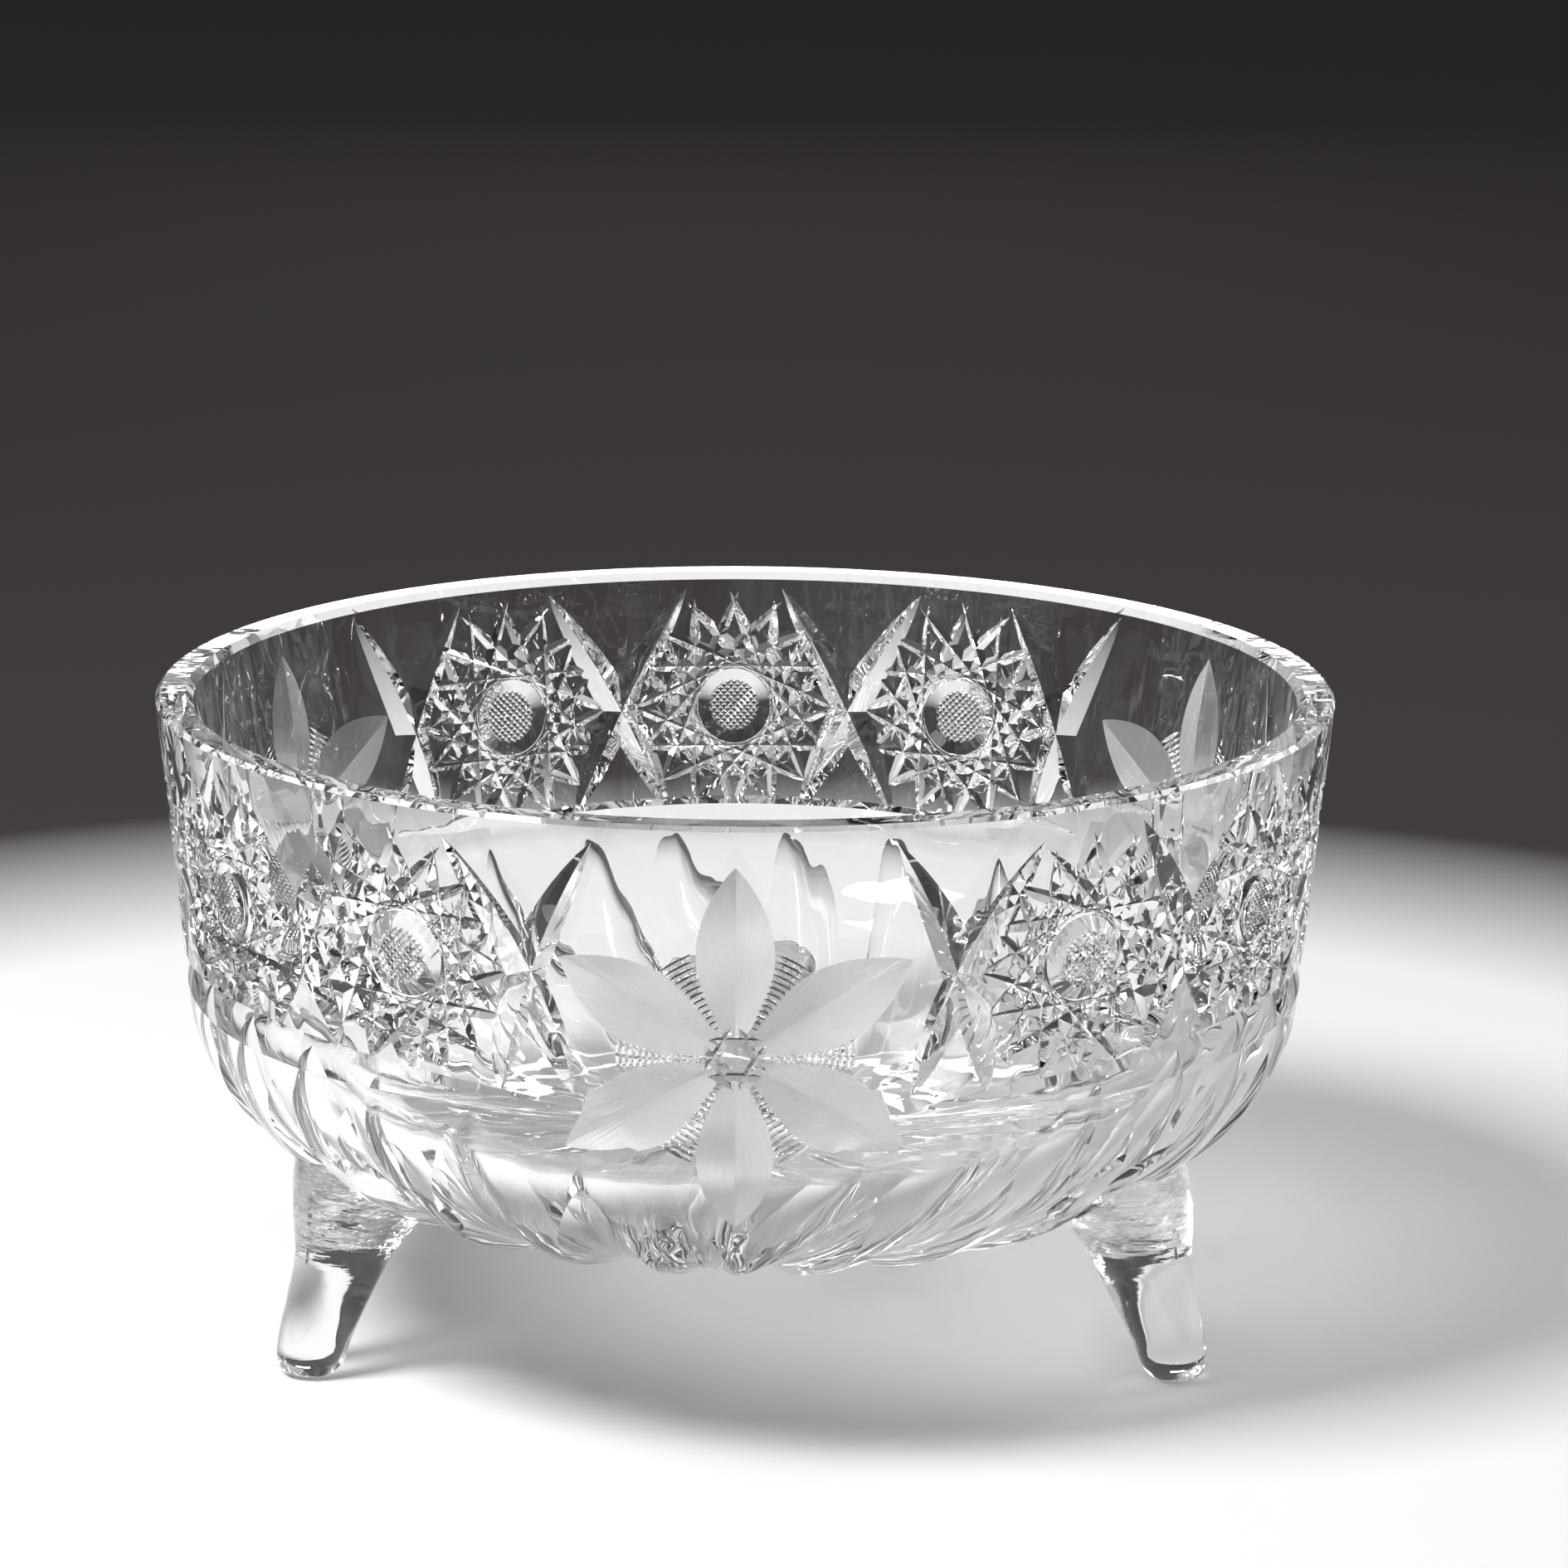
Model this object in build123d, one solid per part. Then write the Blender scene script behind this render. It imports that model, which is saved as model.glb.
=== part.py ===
from build123d import *
import math
import os

# Hand-cut lead crystal bowl on three applied glass feet.
# Frame: origin on the floor under the bowl's axis, +Z up, the front flower faces -Y.  Millimetres.

# ---- driving dimensions -------------------------------------------------------------------
TOTAL_HEIGHT = 120.0
RIM_RADIUS = 110.0
RIM_WALL = 7.0
RIM_OUTER_BEVEL = 0.8
RIM_INNER_BEVEL = 1.4

BASE_HEIGHT = 22.0          # underside of the bowl above the floor
BASE_RADIUS = 40.0          # flat disc in the middle of the underside
SHOULDER_HEIGHT = 66.0      # the rounded lower body meets the flared wall here
SHOULDER_RADIUS = 104.8

FLOOR_HEIGHT = 33.0         # inside floor
FLOOR_RADIUS = 36.0
INNER_SHOULDER_HEIGHT = 68.0
INNER_SHOULDER_RADIUS = 96.4

# cutting pattern, repeated three times round the wall
REPEATS = 3
REPEAT_ANGLE = 360.0 / REPEATS
MEDALLION_PITCH = 26.2      # degrees between medallion centres inside a group of three
CROSSING_HEIGHT = 91.0      # where the two frame mitres of a crossing meet
FRAME_LEAN = 27.0           # degrees between a frame mitre and the vertical
FRAME_HALF_LENGTH = 25.0
FRAME_DEPTH = 3.0
FRAME_HALF_WIDTH = 3.7

SWAG_HEIGHT = 71.6          # middle of the long groove under each group of medallions
SWAG_DROP = 3.2             # how much lower the groove's ends lie
SWAG_HALF_SPAN = 42.7       # degrees
SWAG_DEPTH = 2.4
SWAG_UPPER_FACE = 1.8       # height of the steep face above the groove's line
SWAG_LOWER_FACE = 7.4       # height of the broad face below it

FLOWER_HEIGHT = 78.0
PETAL_LENGTH = 34.5
PETAL_DEPTH = 1.8
PETAL_HALF_WIDTH = 7.0
PETAL_DIRECTIONS = (-30.0, 30.0, 90.0, 150.0, 210.0)

# feet: height of each round section, its distance from the bowl's axis and its radius
FOOT_SECTIONS = (
    (0.0, 92.0, 4.0),
    (1.6, 92.0, 5.7),
    (6.0, 91.0, 6.7),
    (14.0, 87.9, 7.8),
    (22.0, 84.6, 9.2),
    (29.0, 81.6, 12.1),
    (36.0, 77.9, 15.0),
    (42.0, 74.5, 17.0),
)
FOOT_ANGLES = {
    "foot_front_left": -60.0,
    "foot_front_right": 60.0,
    "foot_rear": 180.0,
}

CUTTER_RISE = 1.6           # how far a cutter stands out of the glass


def outward(angle):
    """Unit vector away from the axis; angle 0 is the front (-Y), +90 is +X."""
    turn = math.radians(angle)
    return Vector(math.sin(turn), -math.cos(turn), 0)


def wall_radius(height):
    """Radius of the flared outer wall above the shoulder."""
    rise = (height - SHOULDER_HEIGHT) / (TOTAL_HEIGHT - SHOULDER_HEIGHT)
    return SHOULDER_RADIUS + rise * (RIM_RADIUS - SHOULDER_RADIUS)


def wall_normal(angle):
    """Outward normal of the flared wall."""
    flare = math.atan2(RIM_RADIUS - SHOULDER_RADIUS, TOTAL_HEIGHT - SHOULDER_HEIGHT)
    return outward(angle) * math.cos(flare) - Vector(0, 0, 1) * math.sin(flare)


def envelope():
    """The bowl's outer form, filled solid."""
    with BuildPart() as part:
        with BuildSketch(Plane.XZ):
            with BuildLine():
                Polyline((0, TOTAL_HEIGHT), (0, BASE_HEIGHT), (BASE_RADIUS, BASE_HEIGHT))
                EllipticalCenterArc(
                    (BASE_RADIUS, SHOULDER_HEIGHT),
                    SHOULDER_RADIUS - BASE_RADIUS,
                    SHOULDER_HEIGHT - BASE_HEIGHT,
                    start_angle=270,
                    arc_size=90,
                )
                Polyline(
                    (SHOULDER_RADIUS, SHOULDER_HEIGHT),
                    (wall_radius(TOTAL_HEIGHT - RIM_OUTER_BEVEL), TOTAL_HEIGHT - RIM_OUTER_BEVEL),
                    (RIM_RADIUS - RIM_OUTER_BEVEL, TOTAL_HEIGHT),
                    (0, TOTAL_HEIGHT),
                )
            make_face()
        revolve(axis=Axis.Z)
    return part.part


def cavity():
    """The space inside the bowl."""
    rim_inner = RIM_RADIUS - RIM_WALL
    with BuildPart() as part:
        with BuildSketch(Plane.XZ):
            with BuildLine():
                Polyline((0, TOTAL_HEIGHT), (0, FLOOR_HEIGHT), (FLOOR_RADIUS, FLOOR_HEIGHT))
                EllipticalCenterArc(
                    (FLOOR_RADIUS, INNER_SHOULDER_HEIGHT),
                    INNER_SHOULDER_RADIUS - FLOOR_RADIUS,
                    INNER_SHOULDER_HEIGHT - FLOOR_HEIGHT,
                    start_angle=270,
                    arc_size=90,
                )
                Polyline(
                    (INNER_SHOULDER_RADIUS, INNER_SHOULDER_HEIGHT),
                    (rim_inner, TOTAL_HEIGHT - RIM_INNER_BEVEL),
                    (rim_inner + RIM_INNER_BEVEL, TOTAL_HEIGHT),
                    (0, TOTAL_HEIGHT),
                )
            make_face()
        revolve(axis=Axis.Z)
    return part.part


def mitre(angle, height, lean, half_length, depth, half_width):
    """V-edged wheel that leaves a leaf-shaped mitre cut centred at a place on the flared wall.

    lean is the cut's direction in degrees from the horizontal, anticlockwise from outside.
    """
    normal = wall_normal(angle)
    across = Vector(0, 0, 1).cross(outward(angle)).normalized()
    up = normal.cross(across)
    tilt = math.radians(lean)
    along = across * math.cos(tilt) + up * math.sin(tilt)
    wall_curvature = math.cos(tilt) ** 2 / wall_radius(height)
    wheel = 1.0 / (2.0 * depth / half_length ** 2 - wall_curvature)
    centre = outward(angle) * wall_radius(height) + Vector(0, 0, height) + normal * (wheel - depth)
    edge_height = depth + CUTTER_RISE
    edge_half_width = half_width * edge_height / depth
    sweep = math.degrees(2.0 * half_length / wheel) * 1.5
    # in this plane X points from the wheel's centre to the glass and Y along the wheel's axle
    section = Plane(origin=centre, x_dir=normal * -1.0, z_dir=along)
    with BuildPart() as part:
        with BuildSketch(section):
            with BuildLine():
                Polyline(
                    (wheel, 0),
                    (wheel - edge_height, edge_half_width),
                    (wheel - edge_height, -edge_half_width),
                    close=True,
                )
            make_face()
        axis = Axis(origin=centre, direction=section.y_dir)
        revolve(axis=axis, revolution_arc=sweep)
    return part.part.rotate(axis, -sweep / 2.0)


def swag_cutter(angle):
    """Ring with a V edge, set off the axis and tilted so that its groove runs out low at both ends."""
    wall = wall_radius(SWAG_HEIGHT)
    lowest = wall - SWAG_DEPTH
    end = math.cos(math.radians(SWAG_HALF_SPAN))
    offset = (wall ** 2 - lowest ** 2) / (2.0 * (lowest - wall * end))
    groove = lowest + offset
    spread = (SWAG_DEPTH + CUTTER_RISE) / SWAG_DEPTH
    centre = outward(angle) * -offset + Vector(0, 0, SWAG_HEIGHT)
    # in this plane X points away from the bowl's axis and Y is up
    section = Plane(origin=centre, x_dir=outward(angle), z_dir=outward(angle + 90.0) * -1.0)
    with BuildPart() as part:
        with BuildSketch(section):
            with BuildLine():
                Polyline(
                    (groove, 0),
                    (groove + SWAG_DEPTH + CUTTER_RISE, SWAG_UPPER_FACE * spread),
                    (groove + SWAG_DEPTH + CUTTER_RISE, -SWAG_LOWER_FACE * spread),
                    close=True,
                )
            make_face()
        revolve(axis=Axis(origin=centre, direction=(0, 0, 1)))
    tilt = math.degrees(math.atan2(SWAG_DROP, wall * (1.0 - end)))
    middle = outward(angle) * wall + Vector(0, 0, SWAG_HEIGHT)
    return part.part.rotate(Axis(origin=middle, direction=outward(angle + 90.0)), -tilt)


def cutters():
    """Every major cut in the outside of the bowl."""
    cuts = []
    for repeat in range(REPEATS):
        flower = repeat * REPEAT_ANGLE
        group = flower + REPEAT_ANGLE / 2.0
        cuts.append(swag_cutter(group))
        for direction in PETAL_DIRECTIONS:
            reach = PETAL_LENGTH / 2.0
            tilt = math.radians(direction)
            turn = math.degrees(reach * math.cos(tilt) / wall_radius(FLOWER_HEIGHT))
            height = FLOWER_HEIGHT + reach * math.sin(tilt)
            cuts.append(mitre(flower + turn, height, direction, reach, PETAL_DEPTH, PETAL_HALF_WIDTH))
        for border in (-1.5, -0.5, 0.5, 1.5):
            for lean in (90.0 - FRAME_LEAN, 90.0 + FRAME_LEAN):
                cuts.append(
                    mitre(
                        group + border * MEDALLION_PITCH,
                        CROSSING_HEIGHT,
                        lean,
                        FRAME_HALF_LENGTH,
                        FRAME_DEPTH,
                        FRAME_HALF_WIDTH,
                    )
                )
    return cuts


def bowl():
    """Blown bowl with its heavy base, flat ground rim and major cuts."""
    return envelope() - cavity() - cutters()


def foot(angle):
    """Solid splayed foot that flares into the bowl's underside."""
    sections = []
    for height, distance, radius in FOOT_SECTIONS:
        centre = outward(angle) * distance + Vector(0, 0, height)
        with BuildSketch(Plane(origin=centre, x_dir=outward(angle), z_dir=(0, 0, 1))) as section:
            Circle(radius)
        sections.append(section.sketch)
    return loft(sections) - envelope()


os.makedirs("parts", exist_ok=True)
export_step(bowl(), "parts/bowl.step")
for name, angle in FOOT_ANGLES.items():
    export_step(foot(angle), f"parts/{name}.step")
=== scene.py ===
"""Looks of the footed cut-crystal punch bowl: the cut bowl, its three fused feet, floor, lights, camera."""
import math

import bmesh
import bpy
from mathutils import Matrix, Vector


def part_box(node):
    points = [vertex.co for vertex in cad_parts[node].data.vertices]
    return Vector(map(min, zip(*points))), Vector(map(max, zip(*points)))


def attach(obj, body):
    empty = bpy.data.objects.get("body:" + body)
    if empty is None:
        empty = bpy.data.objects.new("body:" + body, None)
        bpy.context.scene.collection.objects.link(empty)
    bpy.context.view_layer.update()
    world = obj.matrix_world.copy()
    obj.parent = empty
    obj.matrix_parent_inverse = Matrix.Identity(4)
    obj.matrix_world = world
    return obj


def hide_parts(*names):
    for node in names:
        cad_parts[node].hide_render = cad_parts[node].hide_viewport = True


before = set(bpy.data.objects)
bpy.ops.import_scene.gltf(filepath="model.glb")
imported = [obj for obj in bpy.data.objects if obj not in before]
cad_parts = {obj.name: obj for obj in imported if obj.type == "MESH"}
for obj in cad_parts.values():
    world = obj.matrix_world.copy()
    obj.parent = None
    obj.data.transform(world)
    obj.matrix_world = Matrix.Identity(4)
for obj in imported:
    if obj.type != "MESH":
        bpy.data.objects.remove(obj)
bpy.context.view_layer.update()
BOWL_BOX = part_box("bowl")

MM = 0.001                                   # the script's lengths are millimetres
RIM_RADIUS = (BOWL_BOX[1][0] - BOWL_BOX[0][0]) / 2 / MM
HEIGHT = BOWL_BOX[1][2] / MM
BASE_HEIGHT = BOWL_BOX[0][2] / MM

# ---- bowl section (same form as the CAD bowl) -------------------------------------------------
BASE_RADIUS = 40.0
SHOULDER_HEIGHT = 66.0
SHOULDER_RADIUS = 104.8
RIM_WALL = 7.0
RIM_OUTER_BEVEL = 0.8
RIM_INNER_BEVEL = 1.4
FLOOR_HEIGHT = 33.0
FLOOR_RADIUS = 36.0
INNER_SHOULDER_HEIGHT = 68.0
INNER_SHOULDER_RADIUS = 96.4
SEGMENTS = 288                               # round the bowl
ARC_ROWS = 26                                # rows up each rounded lower body

# ---- cut pattern ------------------------------------------------------------------------------
REPEAT = 120.0                               # degrees; one flower and one group of medallions
MEDALLION_PITCH = 26.2
MEDALLION_HEIGHT = 91.5
CROSSING_HEIGHT = 91.0
FLOWER_HEIGHT = 78.0
SWAG_HEIGHT = 71.4                           # at the middle of a group
SWAG_DROP = 3.0                              # how much lower the groove's ends lie
SWAG_HALF_SPAN = 43.0                        # degrees
SWAG_DEPTH = 2.7

# material slots of the bowl's mesh
OUTER, INNER, RIM, CUT, FROSTED, HATCHED, JOINT = range(7)


# ---- the outer surface: angle from the front in degrees, and height or arc length -------------
def build_arc_table(steps=400):
    """Arc length down the elliptical lower body, measured from the shoulder."""
    table = [(0.0, 0.0)]
    across = SHOULDER_RADIUS - BASE_RADIUS
    down = SHOULDER_HEIGHT - BASE_HEIGHT
    length = 0.0
    for step in range(1, steps + 1):
        before = math.pi / 2 * (step - 1) / steps
        after = math.pi / 2 * step / steps
        length += math.hypot(
            across * (math.cos(before) - math.cos(after)), down * (math.sin(after) - math.sin(before))
        )
        table.append((length, after))
    return table


ARC_TABLE = build_arc_table()
ARC_LENGTH = ARC_TABLE[-1][0]
FLARE = math.atan2(RIM_RADIUS - SHOULDER_RADIUS, HEIGHT - SHOULDER_HEIGHT)


def arc_angle(length):
    """Parameter of the lower body's ellipse at an arc length below the shoulder."""
    low, high = 0, len(ARC_TABLE) - 1
    while high - low > 1:
        middle = (low + high) // 2
        if ARC_TABLE[middle][0] < length:
            low = middle
        else:
            high = middle
    share = (length - ARC_TABLE[low][0]) / (ARC_TABLE[high][0] - ARC_TABLE[low][0])
    return ARC_TABLE[low][1] + share * (ARC_TABLE[high][1] - ARC_TABLE[low][1])


def section(climb):
    """Radius, height and outward normal (radial, vertical) at an arc length above the shoulder."""
    if climb >= 0:
        return (
            SHOULDER_RADIUS + climb * math.sin(FLARE),
            SHOULDER_HEIGHT + climb * math.cos(FLARE),
            math.cos(FLARE),
            -math.sin(FLARE),
        )
    if climb > -ARC_LENGTH:
        turn = arc_angle(-climb)
        across = SHOULDER_RADIUS - BASE_RADIUS
        down = SHOULDER_HEIGHT - BASE_HEIGHT
        radial, vertical = math.cos(turn) / across, -math.sin(turn) / down
        size = math.hypot(radial, vertical)
        return (
            BASE_RADIUS + across * math.cos(turn),
            SHOULDER_HEIGHT - down * math.sin(turn),
            radial / size,
            vertical / size,
        )
    return BASE_RADIUS + ARC_LENGTH + climb, BASE_HEIGHT, 0.0, -1.0


def climb_to(height):
    """Arc length above the shoulder of the outer surface at a height."""
    if height >= SHOULDER_HEIGHT:
        return (height - SHOULDER_HEIGHT) / math.cos(FLARE)
    turn = math.asin(min(1.0, (SHOULDER_HEIGHT - height) / (SHOULDER_HEIGHT - BASE_HEIGHT)))
    for length, angle in ARC_TABLE:
        if angle >= turn:
            return -length
    return -ARC_LENGTH


def outward(angle):
    """Unit vector away from the axis, angle in degrees from the front."""
    turn = math.radians(angle)
    return Vector((math.sin(turn), -math.cos(turn), 0.0))


def surface(angle, climb):
    """Point on the outer surface and its outward normal."""
    radius, height, radial, vertical = section(climb)
    out = outward(angle)
    return out * radius + Vector((0, 0, height)), out * radial + Vector((0, 0, vertical))


# ---- cutters: V-edged wheels, as wedges that follow the glass ---------------------------------
V_EDGE = (-1.0, 0.0, 1.0)
ROUND_EDGE = (-1.0, -0.72, -0.47, -0.27, -0.12, 0.0, 0.12, 0.27, 0.47, 0.72, 1.0)


class Wedges:
    """Collects wedge solids that don't touch each other, to be ground away in one pass."""

    def __init__(self, name, slot=CUT):
        self.name = name
        self.slot = slot
        self.points = []
        self.faces = []

    def add(self, path, depth, stations, left=1.2, right=None, rise=1.0, across=V_EDGE, hollow=1.0):
        """Adds the wedge that a wheel leaves along path.

        path(share) gives (angle, climb), depth(share) the depth in mm, for share from -1 to 1;
        left and right are the half widths of the cut for each mm of its depth. across holds the
        places over the wheel's edge, and hollow above 1 rounds it.
        """
        right = left if right is None else right
        first = len(self.points)
        count = len(across)
        for station in range(stations + 1):
            share = -1.0 + 2.0 * station / stations
            here, normal = surface(*path(share))
            ahead, _ = surface(*path(share + 0.01))
            behind, _ = surface(*path(share - 0.01))
            along = (ahead - behind).normalized()
            side = normal.cross(along).normalized()
            normal = along.cross(side)
            deep = depth(share)
            reach = max(deep + rise, 0.02)
            for place in across:
                width = left if place > 0 else right
                height = reach * abs(place) ** hollow - deep
                self.points.append(here + normal * height + side * reach * width * place)
        for station in range(stations):
            a = first + count * station
            b = a + count
            for k in range(count):
                n = (k + 1) % count
                self.faces.append((a + k, a + n, b + n, b + k))
        last = first + count * stations
        self.faces.append(tuple(range(first, first + count)))
        self.faces.append(tuple(range(last, last + count)))

    def solid(self):
        """The batch as an object, with outward faces in the batch's material slot."""
        mesh = bpy.data.meshes.new(self.name)
        mesh.from_pydata([tuple(p * MM) for p in self.points], [], self.faces)
        work = bmesh.new()
        work.from_mesh(mesh)
        bmesh.ops.recalc_face_normals(work, faces=work.faces)
        work.to_mesh(mesh)
        work.free()
        for material in GLASS_SLOTS:
            mesh.materials.append(material)
        for face in mesh.polygons:
            face.material_index = self.slot
        return link(bpy.data.objects.new(self.name, mesh))


def link(obj):
    """Puts the object in the scene."""
    bpy.context.scene.collection.objects.link(obj)
    return obj


def leaf(deepest, power=1.0):
    """Depth of a mitre that runs out to a point at both ends, a little past them to be clean."""
    return lambda share: deepest * (1.0 - abs(share) ** 2) ** power if abs(share) < 1 else -0.05


def straight(angle, height, lean, half_length, start=0.0):
    """Path along a line on the wall; lean is degrees from the horizontal, seen from outside."""
    tilt = math.radians(lean)
    climb = climb_to(height)
    radius = section(climb)[0]

    def path(share):
        reach = start + half_length * (1 + share) if start else half_length * share
        return (
            angle + math.degrees(reach * math.cos(tilt) / radius),
            climb + reach * math.sin(tilt),
        )

    return path


def offset_line(angle, height, lean, half_length, offset):
    """Straight path that passes its centre at a distance, as the chord of a star does."""
    tilt = math.radians(lean)
    climb = climb_to(height)
    radius = section(climb)[0]

    def path(share):
        reach = half_length * share
        across = reach * math.cos(tilt) - offset * math.sin(tilt)
        up = reach * math.sin(tilt) + offset * math.cos(tilt)
        return angle + math.degrees(across / radius), climb + up

    return path


def bent(angle, height, bottom, top):
    """Path through (0, 0) from a bottom to a top end, each (across, up) in mm from the place."""
    climb = climb_to(height)
    radius = section(climb)[0]

    def path(share):
        # quadratic through bottom, the place itself and top
        across = top[0] * share * (share + 1) / 2 + bottom[0] * share * (share - 1) / 2
        up = top[1] * share * (share + 1) / 2 + bottom[1] * share * (share - 1) / 2
        return angle + math.degrees(across / radius), climb + up

    return path


def group_angles():
    """Middles of the three groups of medallions; the one at the rear sits a little off."""
    return [REPEAT / 2, REPEAT * 1.5 + 1.3, REPEAT * 2.5]


def medallion_angles():
    """Angles of the nine medallions."""
    return [group + step * MEDALLION_PITCH for group in group_angles() for step in (-1, 0, 1)]


def flower_angles():
    """Middles of the three flowers; hand cutting left the front one a little off."""
    return [-0.8, REPEAT, 2 * REPEAT]


STAR_POINTS = 16
STAR_INNER = 8.2                             # the star's chords pass this far from its middle
STAR_REACH = 22.4
STAR_DEPTH = 1.5
FILLER_INNER = 13.6                          # likewise for the finer chords outside them
FILLER_REACH = 9.5
FILLER_DEPTH = 0.75
BUTTON_RADIUS = 4.9
RING_RADIUS = 7.7
RING_PROFILE = ((BUTTON_RADIUS - 0.35, 0.2), (RING_RADIUS, -1.5), (RING_RADIUS + 1.6, 0.9))
RING_STEPS = 48
HATCH_PITCH = 1.0
HATCH_LINES = 5                              # on each side of the middle one
HATCH_DEPTH = 0.24


def star_depth(share):
    """Depth of a star's chord: deepest in the middle, a fifth of that where it ends."""
    return STAR_DEPTH * (1 - 0.8 * share * share) if abs(share) < 1 else -0.1


def star_batches():
    """Chords of the sixteen-point hobstars, two parallel ones in a pass."""
    batches = []
    for turn in range(STAR_POINTS // 2):
        batch = Wedges(f"star_chords_{turn}")
        for angle in medallion_angles():
            for side in (-1, 1):
                lean = turn * 360.0 / STAR_POINTS
                path = offset_line(angle, MEDALLION_HEIGHT, lean, STAR_REACH, side * STAR_INNER)
                batch.add(path, star_depth, 10, left=1.08)
        batches.append(batch)
    return batches


def filler_batches():
    """Finer chords that break the sides and the foot of each star into small pyramids."""
    batches = []
    for turn in range(STAR_POINTS // 2):
        batch = Wedges(f"filler_chords_{turn}")
        for angle in medallion_angles():
            for side in (-1, 1):
                lean = (turn + 0.5) * 360.0 / STAR_POINTS
                if side * math.cos(math.radians(lean)) > 0.8:
                    continue        # the spears at the top stay whole
                offset = side * FILLER_INNER
                path = offset_line(angle, MEDALLION_HEIGHT, lean, FILLER_REACH, offset)
                batch.add(path, leaf(FILLER_DEPTH), 6, left=1.05)
        batches.append(batch)
    return batches


def ring_batch():
    """Bevelled ring round each button: a shallow cone from the button down to the star."""
    batch = Wedges("rings")
    climb = climb_to(MEDALLION_HEIGHT)
    radius = section(climb)[0]
    for angle in medallion_angles():
        first = len(batch.points)
        for step in range(RING_STEPS):
            turn = 2 * math.pi * step / RING_STEPS
            for distance, lift in RING_PROFILE:
                aside = math.degrees(distance * math.cos(turn) / radius)
                point, normal = surface(angle + aside, climb + distance * math.sin(turn))
                batch.points.append(point + normal * lift)
        for step in range(RING_STEPS):
            a = first + 3 * step
            b = first + 3 * ((step + 1) % RING_STEPS)
            batch.faces += [(a, a + 1, b + 1, b), (a + 1, a + 2, b + 2, b + 1), (a + 2, a, b, b + 2)]
    return batch


def hatch_batches():
    """Fine crossed lines on each button."""
    batches = []
    for lean in (45.0, 135.0):
        batch = Wedges(f"hatch_{int(lean)}", HATCHED)
        for angle in medallion_angles():
            for line in range(-HATCH_LINES, HATCH_LINES + 1):
                offset = line * HATCH_PITCH
                half = math.sqrt((BUTTON_RADIUS + 0.7) ** 2 - offset ** 2)
                path = offset_line(angle, MEDALLION_HEIGHT, lean, half, offset)
                batch.add(path, lambda share: HATCH_DEPTH, 2, left=1.2, rise=0.1)
        batches.append(batch)
    return batches


# lower and upper end of a frame mitre, in mm from the crossing: (the way its top leans, up)
FRAME_ENDS = ((-10.2, -21.0), (14.6, 24.6))
FRAME_ENDS_INWARD = ((-8.6, -21.0), (14.2, 24.0))    # at the end of a group, leaning over it
FRAME_ENDS_OUTWARD = ((-5.4, -22.0), (13.0, 25.6))   # at the end of a group, leaning away from it
FRAME_DEPTH = 3.3


def frame_batches():
    """The long crossed mitres that frame every medallion."""
    batches = []
    for mirror in (1, -1):
        batch = Wedges("frame_mitres_right" if mirror > 0 else "frame_mitres_left")
        for group in group_angles():
            for border in (-1.5, -0.5, 0.5, 1.5):
                angle = group + border * MEDALLION_PITCH
                ends = FRAME_ENDS
                if border * mirror == -1.5:
                    ends = FRAME_ENDS_INWARD
                if border * mirror == 1.5:
                    ends = FRAME_ENDS_OUTWARD
                bottom, top = [(mirror * x, y) for x, y in ends]
                path = bent(angle, CROSSING_HEIGHT, bottom, top)
                batch.add(path, leaf(FRAME_DEPTH, 0.85), 18, left=1.12)
        batches.append(batch)
    return batches


def swag_batch():
    """Long groove under each group: narrow upper face, broad lower face."""
    batch = Wedges("swag_grooves")
    for group in group_angles():

        def path(share, middle=group):
            return middle + SWAG_HALF_SPAN * share, climb_to(SWAG_HEIGHT) - SWAG_DROP * share * share

        batch.add(path, leaf(SWAG_DEPTH, 0.7), 56, left=0.5, right=2.35)
    return batch


PETAL_START = 2.2                            # from the flower's middle
PETAL_LENGTH = 35.0
PETAL_DEPTH = 2.3


def petal_batches():
    """Frosted petals: wide shallow mitres with a midrib."""
    batches = []
    for first in (90.0, 30.0):
        batch = Wedges(f"petals_{int(first)}", FROSTED)
        for angle in flower_angles():
            for turn in range(3):
                half = (PETAL_LENGTH - PETAL_START) / 2
                path = straight(angle, FLOWER_HEIGHT, first + turn * 120.0, half, start=PETAL_START)
                batch.add(path, leaf(PETAL_DEPTH, 1.05), 20, left=3.2, rise=0.5)
        batches.append(batch)
    return batches


NOTCHES = 13                                 # between two petals
NOTCH_START = 6.4
NOTCH_PITCH = 1.15
NOTCH_HALF_LENGTH = 0.7
NOTCH_GROWTH = 0.24                          # from each notch to the next
NOTCH_DEPTH = 0.38


def ladder_batch():
    """Short notches that step out from the flower's middle between its petals."""
    batch = Wedges("ladders")
    for angle in flower_angles():
        for gap in range(6):
            direction = math.radians(gap * 60.0)
            for step in range(NOTCHES):
                distance = NOTCH_START + step * NOTCH_PITCH
                half = NOTCH_HALF_LENGTH + step * NOTCH_GROWTH
                climb = climb_to(FLOWER_HEIGHT) + distance * math.sin(direction)
                radius, height = section(climb)[:2]
                place = angle + math.degrees(distance * math.cos(direction) / radius)
                path = straight(place, height, gap * 60.0 + 90.0, half)
                batch.add(path, leaf(NOTCH_DEPTH, 0.5), 4, left=1.15)
    return batch


HEXAGRAM_REACH = 6.6
HEXAGRAM_INNER = 3.3
HEXAGRAM_DEPTH = 1.15


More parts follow.
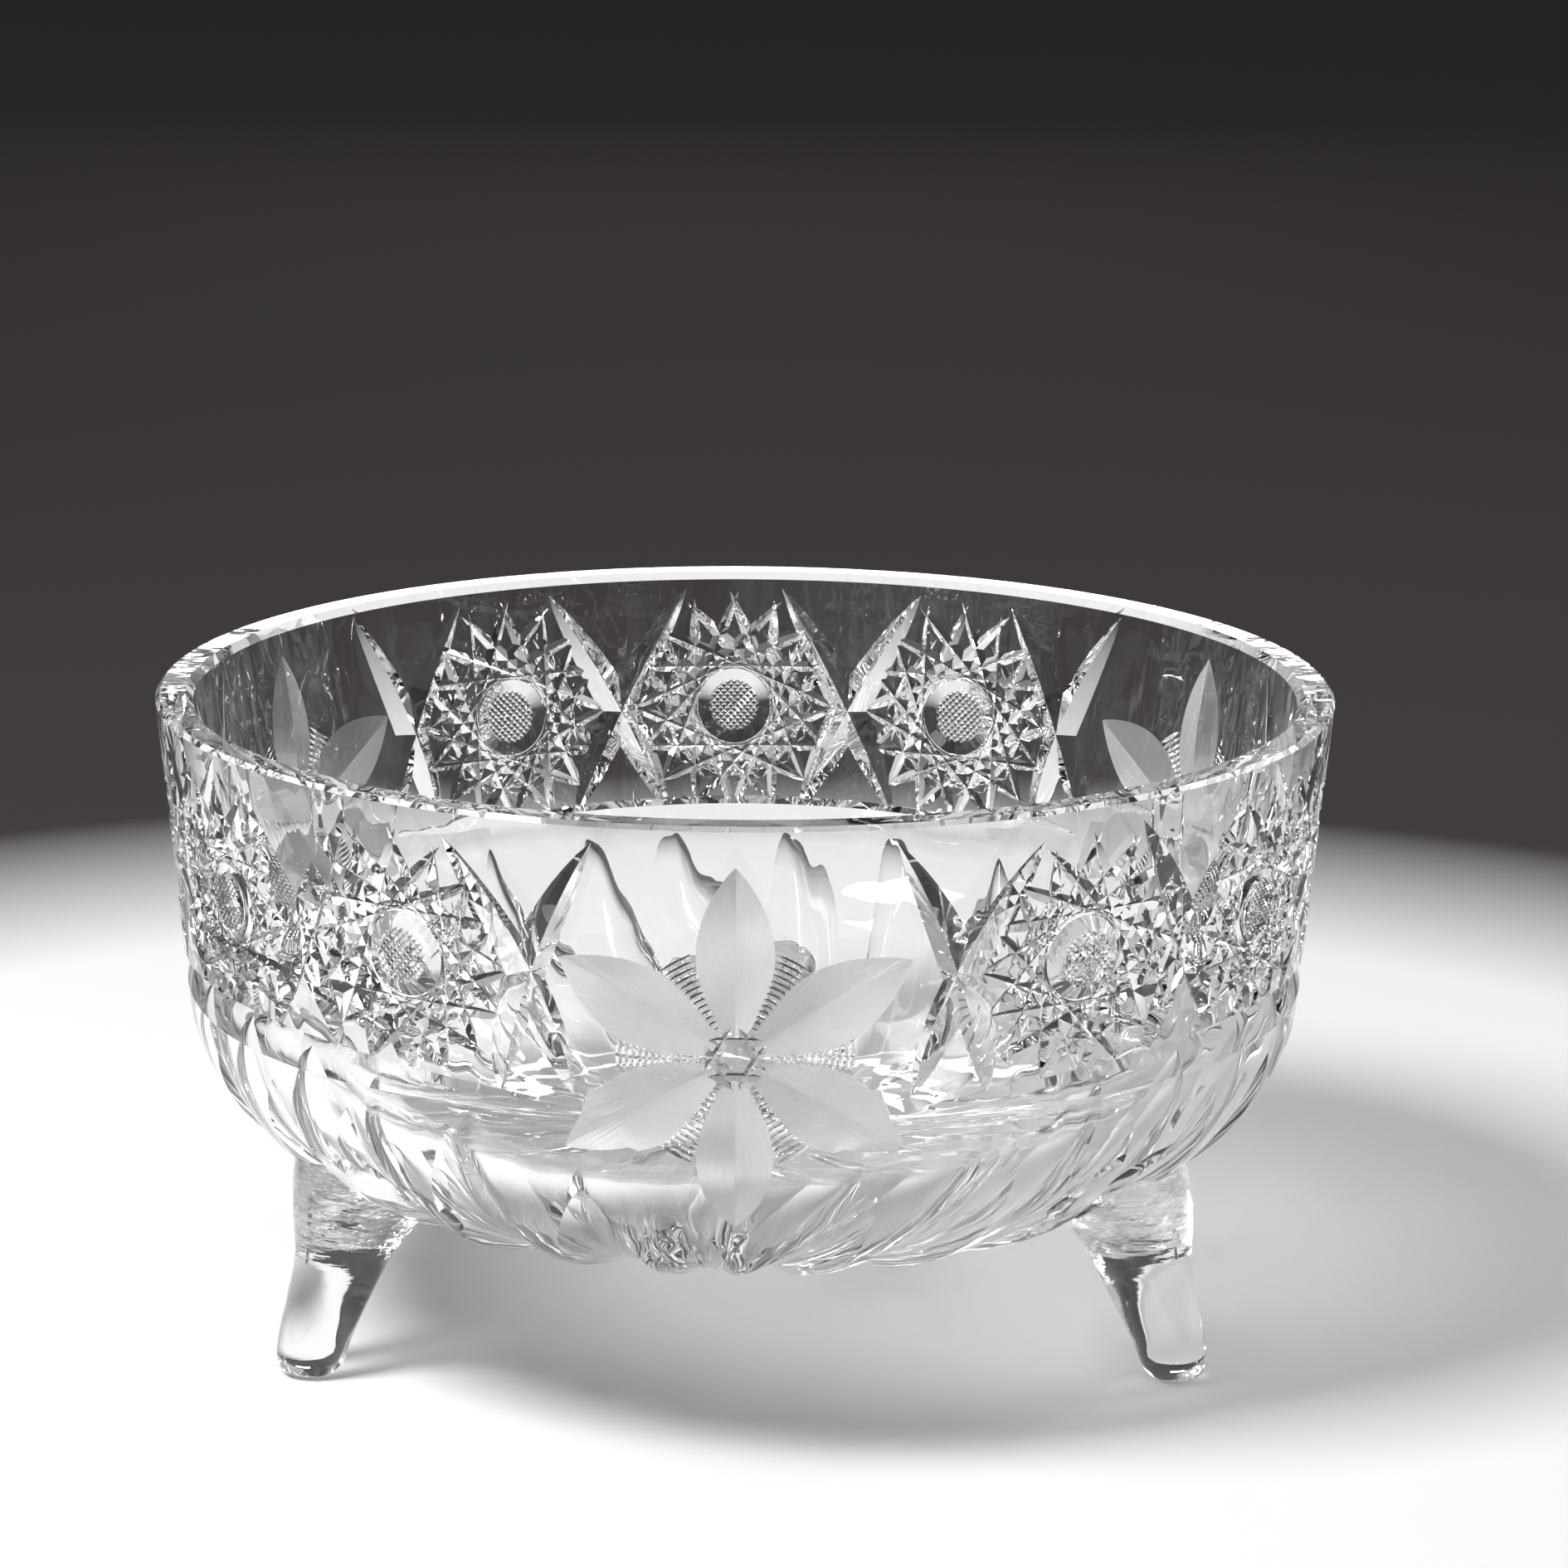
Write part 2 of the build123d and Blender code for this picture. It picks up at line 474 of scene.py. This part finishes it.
def hexagram_batches():
    """Six small mitres that cross as a six-pointed star in the middle of the flower."""
    batches = []
    for turn in range(3):
        batch = Wedges(f"hexagram_{turn}")
        for angle in flower_angles():
            for side in (-1, 1):
                offset = side * HEXAGRAM_INNER
                path = offset_line(angle, FLOWER_HEIGHT, turn * 60.0, HEXAGRAM_REACH, offset)
                batch.add(path, leaf(HEXAGRAM_DEPTH, 0.7), 8, left=0.85)
        batches.append(batch)
    return batches


# each flute's tip, in degrees from the middle of its group
FLUTE_TIPS = (-47.0, -33.0, -19.0, -6.0, 6.5, 18.5, 31.0, 44.0, 56.0)
FLUTE_TOP = 61.5                             # height of the highest tips
FLUTE_END = 7.0                              # how far the flutes run in under the base
FLUTE_DEPTH = 3.0


def flute_batches():
    """Broad leaf-shaped flutes round the lower body, pointed at the top and leaning one way."""
    batches = [Wedges(f"flutes_{turn}") for turn in range(3)]
    for group in group_angles():
        for number, from_group in enumerate(FLUTE_TIPS):
            from_flower = REPEAT / 2 - abs(from_group)
            # they reach less high and cut less deep towards a flower
            tip = climb_to(min(FLUTE_TOP, 40.0 + from_flower * 0.75))
            deepest = min(FLUTE_DEPTH, 1.1 + 0.1 * from_flower)
            foot = -ARC_LENGTH - FLUTE_END
            swirl = -10.0 + 0.14 * from_group

            def path(share, tip=tip, foot=foot, angle=group + from_group, swirl=swirl):
                down = (1 - share) / 2
                return angle + swirl * down, tip + (foot - tip) * down

            def depth(share, deepest=deepest):
                down = (1 - share) / 2
                if not 0 < down < 1:
                    return -0.05
                return deepest * math.sin(math.pi * down ** 0.8)

            batches[number % 3].add(path, depth, 34, left=2.8, across=ROUND_EDGE, hollow=1.5)
    return batches


BASE_RAYS = 24
BASE_RAY_DEPTH = 1.2


def base_star_batches():
    """Radiating mitres on the underside, long and short in turn."""
    batches = [Wedges("base_star_even"), Wedges("base_star_odd")]
    inner = -ARC_LENGTH - BASE_RADIUS + 5.0
    for ray in range(BASE_RAYS):
        outer = -ARC_LENGTH - (1.5 if ray % 2 else 9.0)

        def path(share, outer=outer, angle=ray * 360.0 / BASE_RAYS + 7.5):
            return angle, inner + (outer - inner) * (1 + share) / 2

        batches[ray % 2].add(path, leaf(BASE_RAY_DEPTH, 0.9), 12, left=1.7)
    return batches


# ---- bowl ----------------------------------------------------------------------------------
def bowl_rows():
    """The closed section as (radius, height, slot of the band that follows)."""
    rows = [(0.0, BASE_HEIGHT, OUTER), (BASE_RADIUS / 2, BASE_HEIGHT, OUTER)]
    for row in range(ARC_ROWS):
        turn = math.pi / 2 * (1 - row / ARC_ROWS)
        rows.append(
            (
                BASE_RADIUS + (SHOULDER_RADIUS - BASE_RADIUS) * math.cos(turn),
                SHOULDER_HEIGHT - (SHOULDER_HEIGHT - BASE_HEIGHT) * math.sin(turn),
                OUTER,
            )
        )
    rows.append((SHOULDER_RADIUS, SHOULDER_HEIGHT, OUTER))
    rim_inner = RIM_RADIUS - RIM_WALL
    rows.append((RIM_RADIUS, HEIGHT - RIM_OUTER_BEVEL, RIM))
    rows.append((RIM_RADIUS - RIM_OUTER_BEVEL, HEIGHT, RIM))
    rows.append((rim_inner + RIM_INNER_BEVEL, HEIGHT, RIM))
    rows.append((rim_inner, HEIGHT - RIM_INNER_BEVEL, INNER))
    for row in range(ARC_ROWS):
        turn = math.pi / 2 * row / ARC_ROWS
        rows.append(
            (
                FLOOR_RADIUS + (INNER_SHOULDER_RADIUS - FLOOR_RADIUS) * math.cos(turn),
                INNER_SHOULDER_HEIGHT - (INNER_SHOULDER_HEIGHT - FLOOR_HEIGHT) * math.sin(turn),
                INNER,
            )
        )
    rows += [(FLOOR_RADIUS, FLOOR_HEIGHT, INNER), (FLOOR_RADIUS / 2, FLOOR_HEIGHT, INNER)]
    rows.append((0.0, FLOOR_HEIGHT, INNER))
    return rows


def turned(name, rows):
    """Closed body of revolution from rows of (radius, height, slot)."""
    points = []
    faces = []
    slots = []
    rings = []
    for radius, height, _ in rows:
        if radius == 0:
            rings.append([len(points)] * SEGMENTS)
            points.append(Vector((0, 0, height)))
            continue
        rings.append(list(range(len(points), len(points) + SEGMENTS)))
        points += [outward(360.0 * s / SEGMENTS) * radius + Vector((0, 0, height)) for s in range(SEGMENTS)]
    for row in range(len(rows) - 1):
        low, high = rings[row], rings[row + 1]
        for s in range(SEGMENTS):
            t = (s + 1) % SEGMENTS
            corners = [low[s], low[t], high[t], high[s]]
            faces.append(tuple(dict.fromkeys(corners)))
            slots.append(rows[row][2])
    mesh = bpy.data.meshes.new(name)
    mesh.from_pydata([tuple(p * MM) for p in points], [], faces)
    for face, slot in zip(mesh.polygons, slots):
        face.material_index = slot
    for material in GLASS_SLOTS:
        mesh.materials.append(material)
    return link(bpy.data.objects.new(name, mesh))


def applied(obj):
    """Bakes the object's modifiers into its mesh."""
    graph = bpy.context.evaluated_depsgraph_get()
    mesh = bpy.data.meshes.new_from_object(obj.evaluated_get(graph))
    obj.modifiers.clear()
    obj.data = mesh
    return obj


def boolean(obj, tool, operation="DIFFERENCE"):
    """Adds a boolean modifier that keeps each face's own material."""
    modifier = obj.modifiers.new(tool.name, "BOOLEAN")
    modifier.object = tool
    modifier.operation = operation
    modifier.solver = "MANIFOLD"
    modifier.material_mode = "TRANSFER"


def discard(obj):
    """Removes an object and its mesh."""
    mesh = obj.data
    bpy.data.objects.remove(obj)
    bpy.data.meshes.remove(mesh)


def grind(bowl, batches):
    """Takes every batch of wedges out of the bowl."""
    tools = [batch.solid() for batch in batches]
    for tool in tools:
        boolean(bowl, tool)
    applied(bowl)
    for tool in tools:
        discard(tool)


def true_normal(slot, point):
    """Exact normal of the bowl's smooth outer or inner surface at a point in metres."""
    radius = math.hypot(point.x, point.y) / MM
    height = point.z / MM
    if slot == OUTER:
        foot_height, foot_radius = BASE_HEIGHT, BASE_RADIUS
        top_height, top_radius, flare = SHOULDER_HEIGHT, SHOULDER_RADIUS, FLARE
    else:
        foot_height, foot_radius = FLOOR_HEIGHT, FLOOR_RADIUS
        top_height, top_radius = INNER_SHOULDER_HEIGHT, INNER_SHOULDER_RADIUS
        rise = HEIGHT - RIM_INNER_BEVEL - top_height
        flare = math.atan2(RIM_RADIUS - RIM_WALL - top_radius, rise)
    if height > top_height - 0.01:
        radial, vertical = math.cos(flare), -math.sin(flare)
    elif height < foot_height + 0.01 and radius < foot_radius + 0.5:
        radial, vertical = 0.0, -1.0
    else:
        radial = (radius - foot_radius) / (top_radius - foot_radius) ** 2
        vertical = (height - top_height) / (top_height - foot_height) ** 2
    sign = 1.0 if slot == OUTER else -1.0
    around = Vector((point.x, point.y, 0)).normalized() if radius > 0 else Vector((0, 0, 0))
    return (around * radial + Vector((0, 0, vertical))).normalized() * sign


PETAL_MAP_LENGTH = 40.0                      # mm along a petal for one unit of the map


def add_petal_map(obj):
    """UV map for the brushed petals: the turn round the flower's middle and the distance from it."""
    mesh = obj.data
    layer = mesh.uv_layers.new(name="petals")
    for face in mesh.polygons:
        if face.material_index != FROSTED:
            continue
        for loop in face.loop_indices:
            point = mesh.vertices[mesh.loops[loop].vertex_index].co
            angle = math.degrees(math.atan2(point.x, -point.y))
            flower = min(flower_angles(), key=lambda middle: abs((angle - middle + 180) % 360 - 180))
            aside = math.radians((angle - flower + 180) % 360 - 180) * math.hypot(point.x, point.y) / MM
            up = point.z / MM - FLOWER_HEIGHT
            layer.data[loop].uv = (math.atan2(up, aside), math.hypot(up, aside) / PETAL_MAP_LENGTH)


def finish_shading(obj, smooth_slots=(OUTER, INNER), crease=17.0):
    """Smooth, exactly curved walls; flat polished cuts with crisp edges."""
    mesh = obj.data
    work = bmesh.new()
    work.from_mesh(mesh)
    limit = math.radians(crease)
    for face in work.faces:
        face.smooth = True
    for edge in work.edges:
        if len(edge.link_faces) == 2:
            one, two = edge.link_faces
            edge.smooth = one.material_index == two.material_index and edge.calc_face_angle() < limit
    work.to_mesh(mesh)
    work.free()
    normals = [Vector((0, 0, 0))] * len(mesh.loops)
    for face in mesh.polygons:
        if face.material_index in smooth_slots:
            for loop in face.loop_indices:
                point = mesh.vertices[mesh.loops[loop].vertex_index].co
                normals[loop] = true_normal(face.material_index, point)
    mesh.normals_split_custom_set([tuple(n) for n in normals])


# ---- feet ------------------------------------------------------------------------------------
FOOT_SECTIONS = (
    (0.0, 92.0, 3.6),
    (0.8, 92.0, 5.0),
    (2.5, 91.8, 6.1),
    (6.0, 91.0, 6.7),
    (14.0, 87.9, 7.8),
    (22.0, 84.6, 9.2),
    (29.0, 81.6, 12.1),
    (36.0, 77.9, 15.0),
    (42.0, 74.5, 17.0),
)


def smooth_between(rows, height):
    """Catmull-Rom through rows whose first value is the height."""
    index = 0
    while index < len(rows) - 2 and height > rows[index + 1][0]:
        index += 1
    one, two = rows[index], rows[index + 1]
    zero = rows[max(index - 1, 0)]
    three = rows[min(index + 2, len(rows) - 1)]
    t = (height - one[0]) / (two[0] - one[0])
    values = []
    for k in (1, 2):
        m1 = (two[k] - zero[k]) / max(two[0] - zero[0], 1e-6) * (two[0] - one[0])
        m2 = (three[k] - one[k]) / max(three[0] - one[0], 1e-6) * (two[0] - one[0])
        values.append(
            (2 * t ** 3 - 3 * t ** 2 + 1) * one[k]
            + (t ** 3 - 2 * t ** 2 + t) * m1
            + (3 * t ** 2 - 2 * t ** 3) * two[k]
            + (t ** 3 - t ** 2) * m2
        )
    return values


FOOT_SEGMENTS = 56
PAD_EDGE = 0.5                               # the ground pad's edge below this height stays round


def unevenness(turn, height, angle):
    """Factor on a foot's radius: hand-drawn glass is never quite round."""
    if height < PAD_EDGE:
        return 1.0
    oval = 0.018 * math.sin(2 * turn + height * 0.16 + angle)
    return 1 + oval + 0.012 * math.sin(3 * turn - height * 0.23)


def foot_solid(name, angle):
    """Whole drawn foot; its flat top reaches a little past the bowl's inside."""
    heights = [0.0, 0.25, 0.6, 1.1, 1.8] + [2.6 + 1.2 * step for step in range(32)]
    points = []
    faces = []
    out = outward(angle)
    side = Vector((-out.y, out.x, 0))
    for height in heights:
        distance, radius = smooth_between(FOOT_SECTIONS, height)
        for step in range(FOOT_SEGMENTS):
            turn = 2 * math.pi * step / FOOT_SEGMENTS
            reach = radius * unevenness(turn, height, angle)
            place = out * (distance + reach * math.cos(turn)) + side * reach * math.sin(turn)
            points.append(place + Vector((0, 0, height)))
    for level in range(len(heights) - 1):
        for step in range(FOOT_SEGMENTS):
            a = level * FOOT_SEGMENTS + step
            b = level * FOOT_SEGMENTS + (step + 1) % FOOT_SEGMENTS
            faces.append((a, b, b + FOOT_SEGMENTS, a + FOOT_SEGMENTS))
    faces.append(tuple(range(FOOT_SEGMENTS))[::-1])
    faces.append(tuple(len(points) - FOOT_SEGMENTS + step for step in range(FOOT_SEGMENTS)))
    mesh = bpy.data.meshes.new(name)
    mesh.from_pydata([tuple(p * MM) for p in points], [], faces)
    for material in FOOT_SLOTS:
        mesh.materials.append(material)
    for face in mesh.polygons:
        face.material_index = FOOT_GLASS
    mesh.polygons[len(faces) - 2].material_index = FOOT_PAD
    return link(bpy.data.objects.new(name, mesh))


# ---- materials ---------------------------------------------------------------------------
def new_material(name):
    """A new node material, its nodes and its links."""
    material = bpy.data.materials.new(name)
    material.use_nodes = True
    return material, material.node_tree.nodes, material.node_tree.links


CRYSTAL_IOR = 1.545
CRYSTAL_COLOUR = (0.985, 0.99, 0.988, 1)


def crystal(name, roughness=0.0, bump=0.0, scale=(60.0, 60.0, 60.0), distance=0.0002):
    """Colourless lead crystal with a little life in its surface."""
    material, nodes, links = new_material(name)
    shader = nodes["Principled BSDF"]
    shader.inputs["Base Color"].default_value = CRYSTAL_COLOUR
    shader.inputs["Roughness"].default_value = roughness
    shader.inputs["IOR"].default_value = CRYSTAL_IOR
    shader.inputs["Transmission Weight"].default_value = 1.0
    if bump > 0:
        where = nodes.new("ShaderNodeTexCoord")
        stretch = nodes.new("ShaderNodeMapping")
        stretch.inputs["Scale"].default_value = scale
        noise = nodes.new("ShaderNodeTexNoise")
        noise.inputs["Scale"].default_value = 1.0
        noise.inputs["Detail"].default_value = 2.0
        relief = nodes.new("ShaderNodeBump")
        relief.inputs["Strength"].default_value = bump
        relief.inputs["Distance"].default_value = distance
        links.new(where.outputs["Object"], stretch.inputs["Vector"])
        links.new(stretch.outputs["Vector"], noise.inputs["Vector"])
        links.new(noise.outputs["Fac"], relief.inputs["Height"])
        links.new(relief.outputs["Normal"], shader.inputs["Normal"])
    return material


def brushed_crystal():
    """Petals ground matt by a brush that ran along them."""
    material = crystal("crystal_frosted", roughness=0.26)
    nodes, links = material.node_tree.nodes, material.node_tree.links
    nodes["Principled BSDF"].inputs["Transmission Weight"].default_value = 0.72
    where = nodes.new("ShaderNodeUVMap")
    where.uv_map = "petals"
    stretch = nodes.new("ShaderNodeMapping")
    stretch.inputs["Scale"].default_value = (150.0, 0.8, 1.0)
    noise = nodes.new("ShaderNodeTexNoise")
    noise.inputs["Scale"].default_value = 1.0
    noise.inputs["Detail"].default_value = 3.0
    relief = nodes.new("ShaderNodeBump")
    relief.inputs["Strength"].default_value = 0.45
    relief.inputs["Distance"].default_value = 0.0003
    links.new(where.outputs["UV"], stretch.inputs["Vector"])
    links.new(stretch.outputs["Vector"], noise.inputs["Vector"])
    links.new(noise.outputs["Fac"], relief.inputs["Height"])
    links.new(relief.outputs["Normal"], nodes["Principled BSDF"].inputs["Normal"])
    return material


def drawn_crystal():
    """Feet pulled from hot glass: wavy, with fine folds where they were pressed to the bowl."""
    material = crystal("foot_crystal")
    nodes, links = material.node_tree.nodes, material.node_tree.links
    where = nodes.new("ShaderNodeTexCoord")
    wide = nodes.new("ShaderNodeTexNoise")
    wide.inputs["Scale"].default_value = 55.0
    wide.inputs["Detail"].default_value = 1.0
    fold_map = nodes.new("ShaderNodeMapping")
    fold_map.inputs["Scale"].default_value = (90.0, 90.0, 420.0)
    folds = nodes.new("ShaderNodeTexNoise")
    folds.inputs["Scale"].default_value = 1.0
    folds.inputs["Detail"].default_value = 3.0
    split = nodes.new("ShaderNodeSeparateXYZ")
    climb = nodes.new("ShaderNodeMapRange")
    climb.inputs["From Min"].default_value = 0.016
    climb.inputs["From Max"].default_value = 0.030
    climb.inputs["To Max"].default_value = 0.7
    pressed = nodes.new("ShaderNodeMath")
    pressed.operation = "MULTIPLY"
    height = nodes.new("ShaderNodeMath")
    height.operation = "ADD"
    relief = nodes.new("ShaderNodeBump")
    relief.inputs["Strength"].default_value = 1.0
    relief.inputs["Distance"].default_value = 0.0007
    links.new(where.outputs["Object"], wide.inputs["Vector"])
    links.new(where.outputs["Object"], fold_map.inputs["Vector"])
    links.new(fold_map.outputs["Vector"], folds.inputs["Vector"])
    links.new(where.outputs["Object"], split.inputs["Vector"])
    links.new(split.outputs["Z"], climb.inputs["Value"])
    links.new(folds.outputs["Fac"], pressed.inputs[0])
    links.new(climb.outputs["Result"], pressed.inputs[1])
    links.new(wide.outputs["Fac"], height.inputs[0])
    links.new(pressed.outputs["Value"], height.inputs[1])
    links.new(height.outputs["Value"], relief.inputs["Height"])
    links.new(relief.outputs["Normal"], nodes["Principled BSDF"].inputs["Normal"])
    return material


def fused_joint():
    """Where foot and bowl are one glass: nothing to see."""
    material, nodes, links = new_material("fused_joint")
    clear = nodes.new("ShaderNodeBsdfTransparent")
    nodes.remove(nodes["Principled BSDF"])
    links.new(clear.outputs["BSDF"], nodes["Material Output"].inputs["Surface"])
    return material


JOINT_GLASS = fused_joint()
GLASS_SLOTS = [
    crystal("crystal_outside", bump=0.6, scale=(30.0, 30.0, 16.0), distance=0.0005),
    crystal("crystal_inside", bump=1.0, scale=(52.0, 52.0, 11.0), distance=0.0006),
    crystal("crystal_rim", roughness=0.03, bump=0.3, scale=(110.0, 110.0, 110.0), distance=0.0003),
    crystal("crystal_cut"),
    brushed_crystal(),
    crystal("crystal_hatched", roughness=0.05),
    JOINT_GLASS,
]
FOOT_GLASS, FOOT_PAD, FOOT_JOINT = range(3)
FOOT_SLOTS = [drawn_crystal(), crystal("foot_pad", roughness=0.5), JOINT_GLASS]


# ---- assembly --------------------------------------------------------------------------------
def only_slots(obj, wanted):
    """Drops the faces whose slot isn't wanted."""
    work = bmesh.new()
    work.from_mesh(obj.data)
    bmesh.ops.delete(work, geom=[f for f in work.faces if f.material_index not in wanted], context="FACES")
    work.to_mesh(obj.data)
    work.free()


def with_slots(obj, materials, slots):
    """Gives the object a new list of materials, and each face the slot that slots(old) says."""
    mesh = obj.data
    indices = [slots(face.material_index) for face in mesh.polygons]
    mesh.materials.clear()
    for material in materials:
        mesh.materials.append(material)
    for face, index in zip(mesh.polygons, indices):
        face.material_index = index


def combined(obj, tool, operation, name):
    """A new object: obj and tool put together by a boolean."""
    twin = link(bpy.data.objects.new(name, obj.data.copy()))
    boolean(twin, tool, operation)
    return applied(twin)


def joined(objects, name):
    """One object from several, with coincident points made one."""
    work = bmesh.new()
    for obj in objects:
        work.from_mesh(obj.data)
    bmesh.ops.remove_doubles(work, verts=work.verts, dist=2e-7)
    mesh = bpy.data.meshes.new(name)
    work.to_mesh(mesh)
    work.free()
    for material in objects[0].data.materials:
        mesh.materials.append(material)
    return link(bpy.data.objects.new(name, mesh))


def make_bowl():
    """The turned bowl with every cut ground into it."""
    bowl = turned("ground_bowl", bowl_rows())
    batches = []
    batches += flute_batches()
    batches += base_star_batches()
    batches += filler_batches()
    batches += star_batches()
    batches.append(ring_batch())
    batches += hatch_batches()
    batches += frame_batches()
    batches.append(swag_batch())
    batches.append(ladder_batch())
    batches += petal_batches()
    batches += hexagram_batches()
    grind(bowl, batches)
    return bowl


FEET = {"foot_front_left": -60.0, "foot_front_right": 60.0, "foot_rear": 180.0}


def fused(bowl):
    """The bowl and its feet as closed pieces that meet face to face at a clear joint."""
    blanks = [foot_solid("blank_" + node, angle) for node, angle in FEET.items()]
    feet = []
    for node, blank in zip(FEET, blanks):
        foot = combined(blank, bowl, "DIFFERENCE", "drawn_" + node)
        with_slots(foot, FOOT_SLOTS, lambda slot: slot if slot < len(FOOT_SLOTS) else FOOT_JOINT)
        feet.append(foot)
    blank = joined(blanks, "blanks")
    own = range(len(GLASS_SLOTS))
    outside = combined(bowl, blank, "DIFFERENCE", "outside")
    only_slots(outside, own)
    with_slots(outside, GLASS_SLOTS, lambda slot: slot)
    covered = combined(bowl, blank, "INTERSECT", "covered")
    only_slots(covered, own)
    with_slots(covered, GLASS_SLOTS, lambda slot: JOINT)
    whole = joined([outside, covered], "cut_bowl")
    for obj in blanks + [blank, outside, covered, bowl]:
        discard(obj)
    return whole, feet


bowl, feet = fused(make_bowl())
add_petal_map(bowl)
finish_shading(bowl)
for node, foot in zip(FEET, feet):
    finish_shading(foot, smooth_slots=(), crease=35.0)
    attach(foot, "root")
    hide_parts(node)
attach(bowl, "root")
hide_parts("bowl")


# ---- floor, light, camera -------------------------------------------------------------------
FLOOR_REACH = 4.0
FLOOR_SIDES = 64


def make_floor():
    """Round floor: pale near the bowl, dark farther off; the dark is painted shade, so the pale middle
    reads as a painted pool of light.
    """
    mesh = bpy.data.meshes.new("floor")
    turns = [2 * math.pi * side / FLOOR_SIDES for side in range(FLOOR_SIDES)]
    corners = [(FLOOR_REACH * math.cos(turn), FLOOR_REACH * math.sin(turn), 0) for turn in turns]
    mesh.from_pydata(corners, [], [tuple(range(FLOOR_SIDES))])
    floor = link(bpy.data.objects.new("floor", mesh))
    material, nodes, links = new_material("floor_painted_light_pool")
    shader = nodes["Principled BSDF"]
    shader.inputs["Roughness"].default_value = 0.9
    shader.inputs["Specular IOR Level"].default_value = 0.1
    where = nodes.new("ShaderNodeTexCoord")
    length = nodes.new("ShaderNodeVectorMath")
    length.operation = "LENGTH"
    # painted shade: the floor's colour fades from pale at 0.28 m from the middle to dark at 0.40 m, a
    # painted pool of light round the bowl
    ramp = nodes.new("ShaderNodeValToRGB")
    ramp.color_ramp.elements[0].position = 0.28
    ramp.color_ramp.elements[0].color = (0.82, 0.82, 0.81, 1)
    ramp.color_ramp.elements[1].position = 0.40
    ramp.color_ramp.elements[1].color = (0.045, 0.04, 0.038, 1)
    links.new(where.outputs["Object"], length.inputs[0])
    links.new(length.outputs["Value"], ramp.inputs["Fac"])
    links.new(ramp.outputs["Color"], shader.inputs["Base Color"])
    mesh.materials.append(material)


def softbox(name, place, size, power, aim=(0, 0, 0.06), size_y=None):
    """Square area light, or a strip where size_y is given, turned towards the bowl."""
    lamp = bpy.data.lights.new(name, "AREA")
    lamp.energy = power
    lamp.size = size
    if size_y:
        lamp.shape = "RECTANGLE"
        lamp.size_y = size_y
    obj = link(bpy.data.objects.new(name, lamp))
    obj.location = place
    obj.rotation_mode = "QUATERNION"
    obj.rotation_quaternion = (Vector(aim) - Vector(place)).to_track_quat("-Z", "Y")
    return obj


LIGHT_BOUNCES = 24


def make_light():
    """Pale light from the upper left front, dark surroundings elsewhere, and three softboxes."""
    scene = bpy.context.scene
    scene.world = bpy.data.worlds.new("studio")
    scene.world.use_nodes = True
    nodes, links = scene.world.node_tree.nodes, scene.world.node_tree.links
    where = nodes.new("ShaderNodeTexCoord")
    lobe = nodes.new("ShaderNodeVectorMath")
    lobe.operation = "DOT_PRODUCT"
    lobe.inputs[1].default_value = (-0.50, -0.45, 0.74)
    ramp = nodes.new("ShaderNodeValToRGB")
    ramp.color_ramp.elements[0].position = 0.35
    ramp.color_ramp.elements[0].color = (0.04, 0.037, 0.036, 1)
    ramp.color_ramp.elements[1].position = 0.85
    ramp.color_ramp.elements[1].color = (0.66, 0.66, 0.67, 1)
    links.new(where.outputs["Generated"], lobe.inputs[0])
    links.new(lobe.outputs["Value"], ramp.inputs["Fac"])
    links.new(ramp.outputs["Color"], nodes["Background"].inputs["Color"])
    softbox("key", (-0.63, -0.38, 1.1), 0.4, 17.5)
    softbox("back_strip", (0.0, 1.7, 0.44), 0.6, 1.0, size_y=0.1)
    softbox("fill", (0.9, 0.6, 0.7), 0.5, 3.0)
    scene.view_settings.view_transform = "Standard"
    scene.view_settings.exposure = 0.0
    scene.cycles.max_bounces = LIGHT_BOUNCES
    scene.cycles.transmission_bounces = LIGHT_BOUNCES
    scene.cycles.glossy_bounces = 10             # light trapped in the glass counts as glossy
    scene.cycles.transparent_max_bounces = LIGHT_BOUNCES
    scene.cycles.sample_clamp_indirect = 0.0


def make_camera():
    """Looks a little down on the bowl from the front."""
    data = bpy.data.cameras.new("camera")
    data.sensor_width = 36.0
    data.lens = 131.9
    camera = link(bpy.data.objects.new("camera", data))
    pitch, pan, roll = math.radians(13.776), math.radians(-0.4), math.radians(0.4)
    turn = Matrix.Rotation(pan, 4, "Z") @ Matrix.Rotation(math.pi / 2 - pitch, 4, "X")
    turn = turn @ Matrix.Rotation(roll, 4, "Z")
    camera.matrix_world = Matrix.Translation((0, -1.0489, 0.3579)) @ turn
    data.clip_start, data.clip_end = 0.05, 20.0
    bpy.context.scene.camera = camera


make_floor()
make_light()
make_camera()
